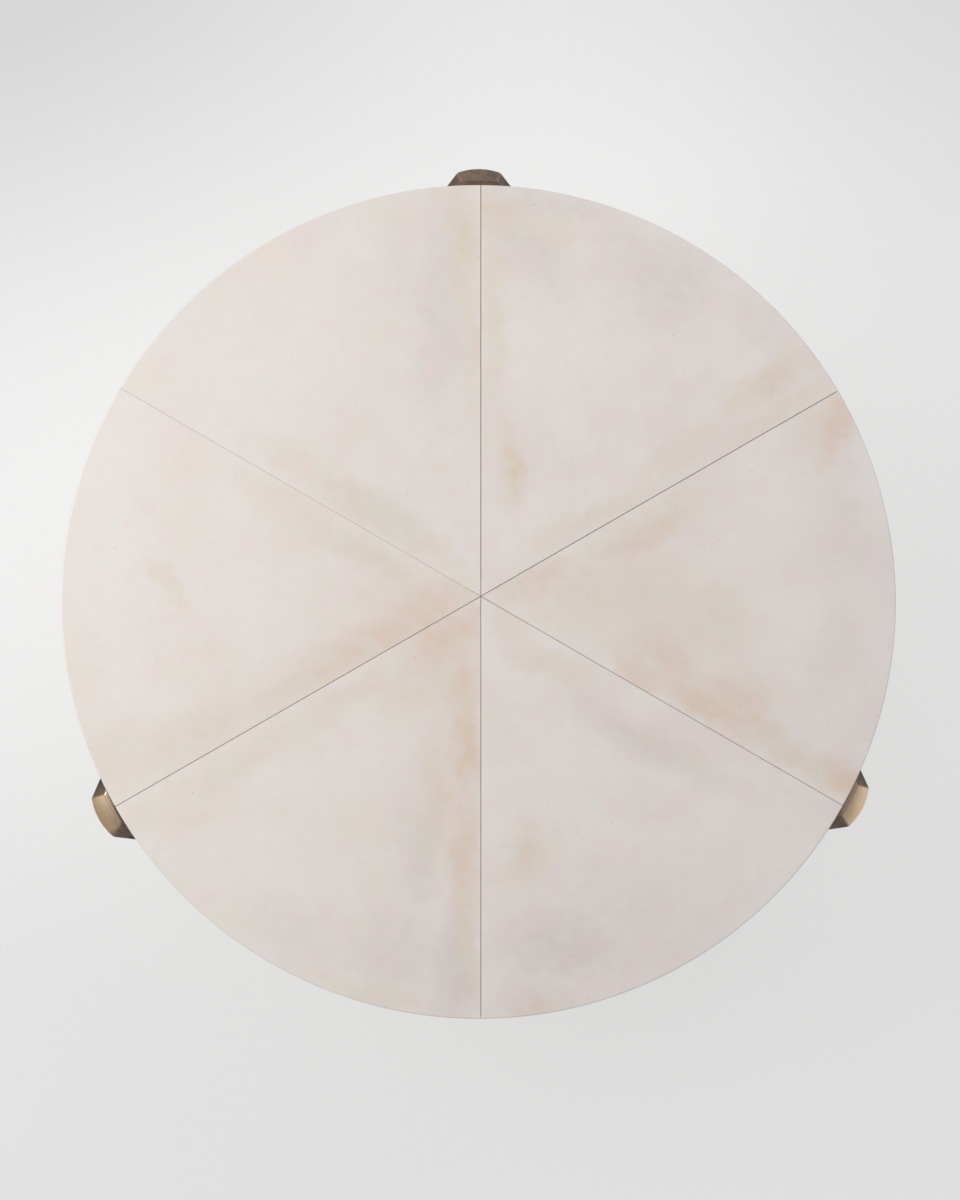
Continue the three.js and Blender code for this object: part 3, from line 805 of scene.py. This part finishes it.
def wrapped_skin(number, middle_angle, finish):
    """One hide over its wedge: rolled at the rim, tight at the seams, its hem turned under."""

    def lies_along(face, outward):
        return face.normal.dot(outward) > ALONG_SEAM

    seams = []
    for side, (gap, seam_shade_depth) in ((-1, SEAMS[number - 1]), (1, SEAMS[number % PANEL_COUNT])):
        seam_angle = middle_angle + side * WEDGE_ANGLE / 2
        seams.append((side * Vector((-math.sin(seam_angle), math.cos(seam_angle), 0)), gap, seam_shade_depth))
    shape = flat_wedge(seams)
    walls = bmesh.ops.extrude_face_region(shape, geom=shape.faces[:])
    lowered = [part for part in walls["geom"] if isinstance(part, bmesh.types.BMVert)]
    bmesh.ops.translate(shape, verts=lowered, vec=(0, 0, panel_bottom - top_height))
    bmesh.ops.translate(shape, verts=shape.verts[:], vec=axis + Vector((0, 0, top_height)))
    bmesh.ops.recalc_face_normals(shape, faces=shape.faces[:])

    # The hem closes the underside except for its middle, where the board shows
    underside = [face for face in shape.faces if face.normal.z < -LEVEL]
    opening = max(underside, key=lambda face: face.calc_area())
    bmesh.ops.delete(shape, geom=[opening], context="FACES")
    top = [face for face in shape.faces if face.normal.z > LEVEL]
    bmesh.ops.dissolve_faces(shape, faces=top)

    def on_rim(vert, height):
        off_rim = abs((vert.co - axis).to_2d().length - rim_radius)
        return abs(vert.co.z - height) < HEIGHT_FIT and off_rim < RIM_FIT

    for height, roll in ((top_height, RIM_ROLL), (panel_bottom, HEM_ROLL)):
        rim_edges = [edge for edge in shape.edges if all(on_rim(vert, height) for vert in edge.verts)]
        round_off(shape, rim_edges, roll, RIM_ROLL_SEGMENTS)

    # The seam walls take the painted shade, and the rounded corners beside them less of it
    painted_seam_shade = shape.faces.layers.float.new("painted_seam_shade")
    seam_walls = []
    for face in shape.faces:
        for outward, _, seam_shade_depth in seams:
            if lies_along(face, outward):
                face[painted_seam_shade] = seam_shade_depth
                seam_walls.append(face)
    for face in round_off(shape, outline_of(shape, seam_walls), SEAM_ROLL, SEAM_ROLL_SEGMENTS):
        sides = [face.calc_center_median().dot(outward) for outward, _, _ in seams]
        face[painted_seam_shade] = CORNER_SEAM_SHADE * seams[sides.index(max(sides))][2]

    piece = make_piece(shape, f"skin_{number}", finish, "parchment", "root", f"parchment_{number}")
    wall = piece.modifiers.new("skin_thickness", "SOLIDIFY")
    wall.thickness = SKIN_THICKNESS
    wall.offset = -1
    even_out_shading(piece)
    return piece


# Points nearer than this are one point, and faces that turn less than this are one face
MERGE_REACH = 0.01 * MM
FLAT_ENOUGH = math.radians(0.5)


def copy_of_solid(node):
    """A CAD node's shape with its loose triangles joined and its flat faces made whole."""
    shape = bmesh.new()
    shape.from_mesh(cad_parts[node].data)
    bmesh.ops.remove_doubles(shape, verts=shape.verts[:], dist=MERGE_REACH)
    bmesh.ops.dissolve_limit(
        shape, angle_limit=FLAT_ENOUGH, verts=shape.verts[:], edges=shape.edges[:]
    )
    return shape


def long_corners(shape, shortest, least_turn):
    """The outward corners of a shape that are long and sharp enough to be rounded."""
    outward = [edge for edge in shape.edges if edge.is_manifold and edge.is_convex]
    return [
        edge
        for edge in outward
        if edge.calc_length() > shortest and edge.calc_face_angle() > least_turn
    ]


# A leg's corners are rounded where they turn this much. For those outside and those beside the
# notch: whether they are beside it, how long the shortest is, and how round they get.
LEG_CORNER_TURN = math.radians(25)
LEG_ROUND_SEGMENTS = 3
LEG_ROUNDS = [(False, 4 * MM, 2 * MM), (True, 0.1 * MM, 1.1 * MM)]

LEG_FRONT_HALF = 24 * MM

# An upright face's normal rises less than this, a level one leans less than this, and the notch's
# wall faces outward by less than this
UPRIGHT_RISE = 0.01
LEVEL_LEAN = 0.1
NOTCH_FACING = -0.9

# A face starts to count as front, or as the head's lip, when it faces outward, or upward, by the
# first share. It counts fully from the second. An end facet faces outward by less than the third.
FACING_FROM = 0.7
FACING_FULLY = 0.95
END_FACET_FACING = 0.9

# How much the lip is rubbed, and how bright its corners are once a face is lip by a share
LIP_RUBBED = 0.8
LIP_SHARE = 0.2
LIP_SHINE = 0.1

# How bright the corners are below the head
SHAFT_SHINE = 0.6

# How bright each leg's head is rubbed; values over 0.95 make a painted highlight. The first number is
# for its corners. The two sets are for the front's clockwise end and its other end: low down, high up,
# and the share left at the corner.
LEG_RUBBED = [
    (0.6, (0.0, 0.02, 1.0), (0.16, 0.2, 1.0)),
    (0.2, (0.42, 1.1, 1.0), (0.34, 0.16, 0.3)),
    (0.2, (0.7, 0.42, 0.5), (1.0, 0.62, 1.0)),
]


def cast_leg(number, angle, finish):
    """A leg casting with softened corners. Its bowed front is the face that hands rub."""
    shape = copy_of_solid(f"leg_{number}")
    edge_mark = shape.faces.layers.float.new("edge")
    rubbed_mark = shape.faces.layers.float.new("rubbed")
    head_wear_and_highlight_mark = shape.verts.layers.float.new("head_wear_and_highlight")
    across_mark = shape.verts.layers.float.new("across")
    outward = Vector((math.cos(angle), math.sin(angle), 0))
    sideways = Vector((-outward.y, outward.x, 0))

    def in_notch(face):
        """Whether a face is in the upright wall behind the rim."""
        upright = abs(face.normal.z) < UPRIGHT_RISE
        inward = face.normal.dot(outward) < NOTCH_FACING
        return upright and inward and face.calc_center_median().z > panel_bottom

    def beside_notch(edge):
        return any(in_notch(face) for face in edge.link_faces)

    rounded = []
    for at_notch, shortest, radius in LEG_ROUNDS:
        corners = long_corners(shape, shortest, LEG_CORNER_TURN)
        chosen = [edge for edge in corners if beside_notch(edge) == at_notch]
        rounded += round_off(shape, chosen, radius, LEG_ROUND_SEGMENTS)
    for face in rounded:
        if face.is_valid:
            face[edge_mark] = 1

    def facing(face):
        """How far a face looks outward, whatever its slope. A level face looks nowhere."""
        level = Vector((face.normal.x, face.normal.y, 0))
        return level.normalized().dot(outward) if level.length > LEVEL_LEAN else None

    corner_shine, clockwise, other = LEG_RUBBED[number - 1]
    for face in shape.faces:
        turned = facing(face)
        in_head = face.calc_center_median().z > head_bottom
        front = ramp(turned, FACING_FROM, FACING_FULLY) if turned is not None else 0
        lip = ramp(face.normal.z, FACING_FROM, FACING_FULLY) if in_head else 0
        face[rubbed_mark] = front * (1 - lip) + LIP_RUBBED * lip
        if not in_head:
            face[edge_mark] *= SHAFT_SHINE
        else:
            face[edge_mark] *= corner_shine if lip < LIP_SHARE else LIP_SHINE
    for vert in shape.verts:
        off_middle = (vert.co - axis).dot(sideways)
        share = ramp(off_middle, -LEG_FRONT_HALF, LEG_FRONT_HALF)
        rise = ramp(vert.co.z, head_bottom, head_top)
        turns = [facing(face) for face in vert.link_faces]
        at_end = any(turned is not None and turned < END_FACET_FACING for turned in turns)
        first, last = (low + (high - low) * rise for low, high, _ in (clockwise, other))
        corner = (clockwise, other)[round(share)][2]
        vert[head_wear_and_highlight_mark] = (first + (last - first) * share) * (corner if at_end else 1)
        vert[across_mark] = abs(off_middle)
    piece = make_piece(shape, f"cast_leg_{number}", finish, "brass", "root", f"leg_{number}")
    even_out_shading(piece)
    return piece


PLATE_CORNER_TURN = math.radians(40)
PLATE_ROUND_SEGMENTS = 2
DISC_EDGE_ROUND = 0.6 * MM
DISC_CORNER_LENGTH = 20 * MM
PLATE_EDGE_ROUND = 0.8 * MM
FOOT_PLATE_EDGE_ROUND = 0.6 * MM
PLATE_CORNER_LENGTH = 8 * MM


def softened(node, name, finish, slot, radius, shortest):
    """A piece like its CAD solid, with the longer corners rounded and marked as worn."""
    shape = copy_of_solid(node)
    edge_mark = shape.faces.layers.float.new("edge")
    corners = long_corners(shape, shortest, PLATE_CORNER_TURN)
    for face in round_off(shape, corners, radius, PLATE_ROUND_SEGMENTS):
        face[edge_mark] = 1
    piece = make_piece(shape, name, finish, slot, "root", node)
    even_out_shading(piece)
    return piece


# Screws, bushes, studs and pads, turned about their own axes

# How many steps a full turn has
TURNING_STEPS = 40
THREAD_STEPS = 24
HEX_SIDES = 6

# Where a line of places starts on the axis, its copies are merged into one point
POLE_REACH = 0.001 * MM

# A thread's ridge is sunk this deep into its core. The shares are of its pitch.
RIDGE_SUNK = 0.2 * MM
RIDGE_CREST_SHARE = 0.45
RIDGE_WIDTH_SHARE = 0.9

# A screw's head edge, its plain neck as a share of its length, and its point as one of its core
HEAD_EDGE = 0.2 * MM
NECK_SHARE = 0.15
POINT_SHARE = 1 / 3

# How deep the drill went below a socket, as a share of the socket's radius
DRILL_SHARE = 0.4

# The radii, lengths and depths of the two kinds of screw
WOOD_SCREW = {
    "shank": 2.5 * MM,
    "head": 4.8 * MM,
    "head_height": 2.8 * MM,
    "tip": 5 * MM,
    "socket": 2 * MM,
    "socket_depth": 1.8 * MM,
    "thread": 0.7 * MM,
    "pitch": 2 * MM,
}
MACHINE_SCREW = {
    "shank": 4 * MM,
    "head": 7.8 * MM,
    "head_height": 4.2 * MM,
    "tip": 1.5 * MM,
    "socket": 2.9 * MM,
    "socket_depth": 3 * MM,
    "thread": 0.75 * MM,
    "pitch": 1.25 * MM,
}


def spun(profile):
    """A body turned about the Z axis from a line of places, each a radius and a height."""
    shape = bmesh.new()
    verts = [shape.verts.new((radius, 0, height)) for radius, height in profile]
    edges = [shape.edges.new(pair) for pair in zip(verts, verts[1:])]
    bmesh.ops.spin(
        shape,
        geom=[*verts, *edges],
        axis=(0, 0, 1),
        cent=(0, 0, 0),
        angle=math.tau,
        steps=TURNING_STEPS,
        use_merge=True,
    )
    bmesh.ops.remove_doubles(shape, verts=shape.verts[:], dist=POLE_REACH)
    return shape


def add_thread(shape, radius, depth, pitch, low, high):
    """A right-handed ridge round a core: the thread's three-cornered section spun as it climbs."""
    root = radius - depth - RIDGE_SUNK
    crest_height = low + RIDGE_CREST_SHARE * pitch
    corners = ((root, low), (radius, crest_height), (root, low + RIDGE_WIDTH_SHARE * pitch))
    verts = [shape.verts.new((out, 0, height)) for out, height in corners]
    section = [shape.edges.new(pair) for pair in zip(verts, [*verts[1:], verts[0]])]
    steps = int((high - low - pitch) / pitch * THREAD_STEPS)
    climbed = bmesh.ops.spin(
        shape,
        geom=[*verts, *section],
        axis=(0, 0, 1),
        cent=(0, 0, 0),
        dvec=(0, 0, pitch / THREAD_STEPS),
        angle=math.tau * steps / THREAD_STEPS,
        steps=steps,
    )
    last = [part for part in climbed["geom_last"] if isinstance(part, bmesh.types.BMEdge)]
    bmesh.ops.contextual_create(shape, geom=section)
    bmesh.ops.contextual_create(shape, geom=last)


def add_socket(shape, radius, depth):
    """Close a head's open top, at height zero, by a flat with a hexagonal socket in it."""
    open_rim = [edge for edge in shape.edges if edge.is_boundary]
    bmesh.ops.create_circle(shape, segments=HEX_SIDES, radius=radius)
    mouth = [edge for edge in shape.edges if edge.is_wire]
    bmesh.ops.bridge_loops(shape, edges=[*open_rim, *mouth])
    walls = bmesh.ops.extrude_edge_only(shape, edges=mouth)["geom"]
    sunk = [part for part in walls if isinstance(part, bmesh.types.BMVert)]
    bmesh.ops.translate(shape, verts=sunk, vec=(0, 0, -depth))
    lower_rim = [edge for edge in shape.edges if edge.is_boundary]
    bottom = bmesh.ops.contextual_create(shape, geom=lower_rim)
    drilled = bmesh.ops.poke(shape, faces=bottom["faces"])["verts"]
    bmesh.ops.translate(shape, verts=drilled, vec=(0, 0, -DRILL_SHARE * radius))


def settle(shape, place):
    """Make the faces point outwards and set the finished shape in its place."""
    bmesh.ops.recalc_face_normals(shape, faces=shape.faces[:])
    bmesh.ops.translate(shape, verts=shape.verts[:], vec=place)


def screw(node, size, upward, finish):
    """A countersunk screw for a socket key, driven upward or downward."""
    low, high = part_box(node)
    length = high.z - low.z
    core = size["shank"] - size["thread"]
    thread_start = size["tip"] - length
    thread_end = -size["head_height"] - NECK_SHARE * length
    shape = spun(
        [
            (0, -length),
            (POINT_SHARE * core, -length),
            (core, thread_start),
            (core, thread_end),
            (size["shank"], thread_end + size["thread"]),
            (size["shank"], -size["head_height"]),
            (size["head"], -HEAD_EDGE),
            (size["head"] - HEAD_EDGE, 0),
        ]
    )
    add_socket(shape, size["socket"], size["socket_depth"])
    add_thread(shape, size["shank"], size["thread"], size["pitch"], thread_start, thread_end)
    if upward:
        over = Matrix.Rotation(math.pi, 3, "X")
        bmesh.ops.rotate(shape, cent=(0, 0, 0), matrix=over, verts=shape.verts[:])
    middle = (low + high) / 2
    settle(shape, Vector((middle.x, middle.y, low.z if upward else high.z)))
    return make_piece(shape, f"threaded_{node}", finish, "zinc", "root", node)


# Heights on a glide, from the floor up
PAD_SOLE = 0.6 * MM
PAD_SOCKET_BOTTOM = 3 * MM
TOE_BOTTOM = 3.3 * MM
TOE_TOP = 5.5 * MM
PAD_SOCKET_TOP = 5.8 * MM
PAD_HEIGHT = 8 * MM
HEX_BOTTOM = 8.3 * MM
HEX_TOP = 13.3 * MM
FOOT_BOTTOM, BUSH_TOP = (corner.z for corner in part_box("glide_bush_1"))
STUD_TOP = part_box("glide_stud_1")[1].z

# A glide's radii and its thread
NECK_RADIUS = 4.2 * MM
NECK_HOLE_RADIUS = 4.5 * MM
STUD_RADIUS = 5 * MM
TOE_RADIUS = 6 * MM
TOE_HOLE_RADIUS = 6.3 * MM
BUSH_RADIUS = 8 * MM
HEX_RADIUS = 8.6 * MM
FLANGE_RADIUS = 10 * MM
PAD_TOP_RADIUS = 14 * MM
PAD_RADIUS = 17 * MM
STUD_THREAD = 0.92 * MM
STUD_PITCH = 1.5 * MM
BORE_PLAY = 0.3 * MM
FLANGE_THICKNESS = 1.5 * MM
HEX_CORNER = 0.9 * MM

# The pad stands on a ring. The recess in its middle slopes down from the first radius to the second.
RING_INSIDE = 10.5 * MM
RING_SOLE = 11.2 * MM


def glide_place(number):
    """Where a glide stands on the floor."""
    low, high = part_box(f"glide_pad_{number}")
    return Vector(((low.x + high.x) / 2, (low.y + high.y) / 2, 0))


def glide_bush(number, finish):
    """The threaded bush, with its flange flush under the foot."""
    bore = STUD_RADIUS + BORE_PLAY
    flange_top = FOOT_BOTTOM + FLANGE_THICKNESS
    flange_edge, top_edge, bore_edge = 0.4 * MM, 0.6 * MM, 0.5 * MM
    profile = [
        (bore + bore_edge, FOOT_BOTTOM),
        (FLANGE_RADIUS - flange_edge, FOOT_BOTTOM),
        (FLANGE_RADIUS, FOOT_BOTTOM + flange_edge),
        (FLANGE_RADIUS, flange_top),
        (BUSH_RADIUS, flange_top),
        (BUSH_RADIUS, BUSH_TOP - top_edge),
        (BUSH_RADIUS - top_edge, BUSH_TOP),
        (bore + bore_edge, BUSH_TOP),
        (bore, BUSH_TOP - bore_edge),
        (bore, FOOT_BOTTOM + bore_edge),
        (bore + bore_edge, FOOT_BOTTOM),
    ]
    shape = spun(profile)
    settle(shape, glide_place(number))
    return make_piece(shape, f"turned_bush_{number}", finish, "zinc", "root", f"glide_bush_{number}")


def glide_stud(number, finish):
    """The stud: a toe held in the pad, a hexagon for a spanner, and the threaded shank."""
    core = STUD_RADIUS - STUD_THREAD
    toe_edge, inside_hexagon, end_edge, thread_stop = 0.4 * MM, 0.5 * MM, 0.8 * MM, 0.3 * MM
    profile = [
        (0, TOE_BOTTOM),
        (TOE_RADIUS - toe_edge, TOE_BOTTOM),
        (TOE_RADIUS, TOE_BOTTOM + toe_edge),
        (TOE_RADIUS, TOE_TOP - toe_edge),
        (TOE_RADIUS - toe_edge, TOE_TOP),
        (NECK_RADIUS, TOE_TOP),
        (NECK_RADIUS, HEX_BOTTOM + inside_hexagon),
        (core, HEX_TOP - inside_hexagon),
        (core, STUD_TOP - end_edge),
        (core - end_edge, STUD_TOP),
        (0, STUD_TOP),
    ]
    shape = spun(profile)
    thread_low = HEX_TOP - STUD_PITCH / 2
    thread_high = STUD_TOP - thread_stop
    add_thread(shape, STUD_RADIUS, STUD_THREAD, STUD_PITCH, thread_low, thread_high)
    hexagon = bmesh.ops.create_cone(
        shape,
        cap_ends=True,
        segments=HEX_SIDES,
        radius1=HEX_RADIUS,
        radius2=HEX_RADIUS,
        depth=HEX_TOP - HEX_BOTTOM,
        matrix=Matrix.Translation((0, 0, (HEX_BOTTOM + HEX_TOP) / 2)),
    )["verts"]
    round_off(shape, hexagon, HEX_CORNER, 1, affect="VERTICES")
    settle(shape, glide_place(number))
    name, body, node = f"threaded_stud_{number}", f"stud_{number}", f"glide_stud_{number}"
    return make_piece(shape, name, finish, "zinc", body, node)


def glide_pad(number, finish):
    """The nylon pad: a soft-edged foot with a moulded ring below and an undercut socket above."""
    profile = [
        (0, PAD_SOLE),
        (RING_INSIDE, PAD_SOLE),
        (RING_SOLE, 0),
        (PAD_RADIUS - 1 * MM, 0),
        (PAD_RADIUS - 0.3 * MM, 0.3 * MM),
        (PAD_RADIUS, 1 * MM),
        (PAD_RADIUS, 1.9 * MM),
        (PAD_RADIUS - 0.3 * MM, 2.6 * MM),
        (PAD_TOP_RADIUS + 0.6 * MM, PAD_HEIGHT - 1.1 * MM),
        (PAD_TOP_RADIUS, PAD_HEIGHT - 0.3 * MM),
        (PAD_TOP_RADIUS - 0.8 * MM, PAD_HEIGHT),
        (NECK_HOLE_RADIUS + 0.6 * MM, PAD_HEIGHT),
        (NECK_HOLE_RADIUS + 0.1 * MM, PAD_HEIGHT - 0.4 * MM),
        (NECK_HOLE_RADIUS, PAD_SOCKET_TOP),
        (TOE_HOLE_RADIUS, PAD_SOCKET_TOP),
        (TOE_HOLE_RADIUS, PAD_SOCKET_BOTTOM),
        (0, PAD_SOCKET_BOTTOM),
    ]
    shape = spun(profile)
    settle(shape, glide_place(number))
    name, body, node = f"moulded_pad_{number}", f"pad_{number}", f"glide_pad_{number}"
    return make_piece(shape, name, finish, "nylon", body, node, crease=MOULDED_CREASE)


add_camera()
add_softbox("window_side", stand=(-1.9, 0.45, 2.1), side=1.6, power=33)
add_softbox("fill_side", stand=(1.1, 1.5, 2.4), side=1.4, power=11)
studio_light()

floor_shape = bmesh.new()
bmesh.ops.create_grid(floor_shape, x_segments=1, y_segments=1, size=FLOOR_HALF)
floor = meshed("floor", floor_shape, floor_finish())

cast_brass = cast_brass_finish()
rough_brass = rough_brass_finish()
plywood = plywood_finish()
board = board_finish()
painted_steel = painted_steel_finish()
zinc = zinc_finish()
nylon = nylon_finish()

softened("backing_disc", "plywood_disc", plywood, "plywood", DISC_EDGE_ROUND, DISC_CORNER_LENGTH)
for index in range(PANEL_COUNT):
    number = index + 1
    wrapped_skin(number, FIRST_SEAM + WEDGE_ANGLE * (index + 0.5), parchment_finish(number))
    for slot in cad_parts[f"panel_board_{number}"].material_slots:
        slot.material = board

for number in range(1, LEG_COUNT + 1):
    foot = glide_place(number) - axis
    cast_leg(number, math.atan2(foot.y, foot.x), cast_brass)
    node, name = f"mounting_plate_{number}", f"painted_plate_{number}"
    softened(node, name, painted_steel, "steel", PLATE_EDGE_ROUND, PLATE_CORNER_LENGTH)
    node, name = f"foot_plate_{number}", f"cast_foot_plate_{number}"
    softened(node, name, rough_brass, "brass", FOOT_PLATE_EDGE_ROUND, PLATE_CORNER_LENGTH)
    glide_bush(number, zinc)
    glide_stud(number, zinc)
    glide_pad(number, nylon)

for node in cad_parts:
    if node.startswith(("panel_screw_", "plate_screw_")):
        screw(node, WOOD_SCREW, True, zinc)
    if node.startswith("leg_screw_"):
        screw(node, MACHINE_SCREW, False, zinc)

bpy.context.scene.view_settings.view_transform = "Standard"
bpy.context.view_layer.update()
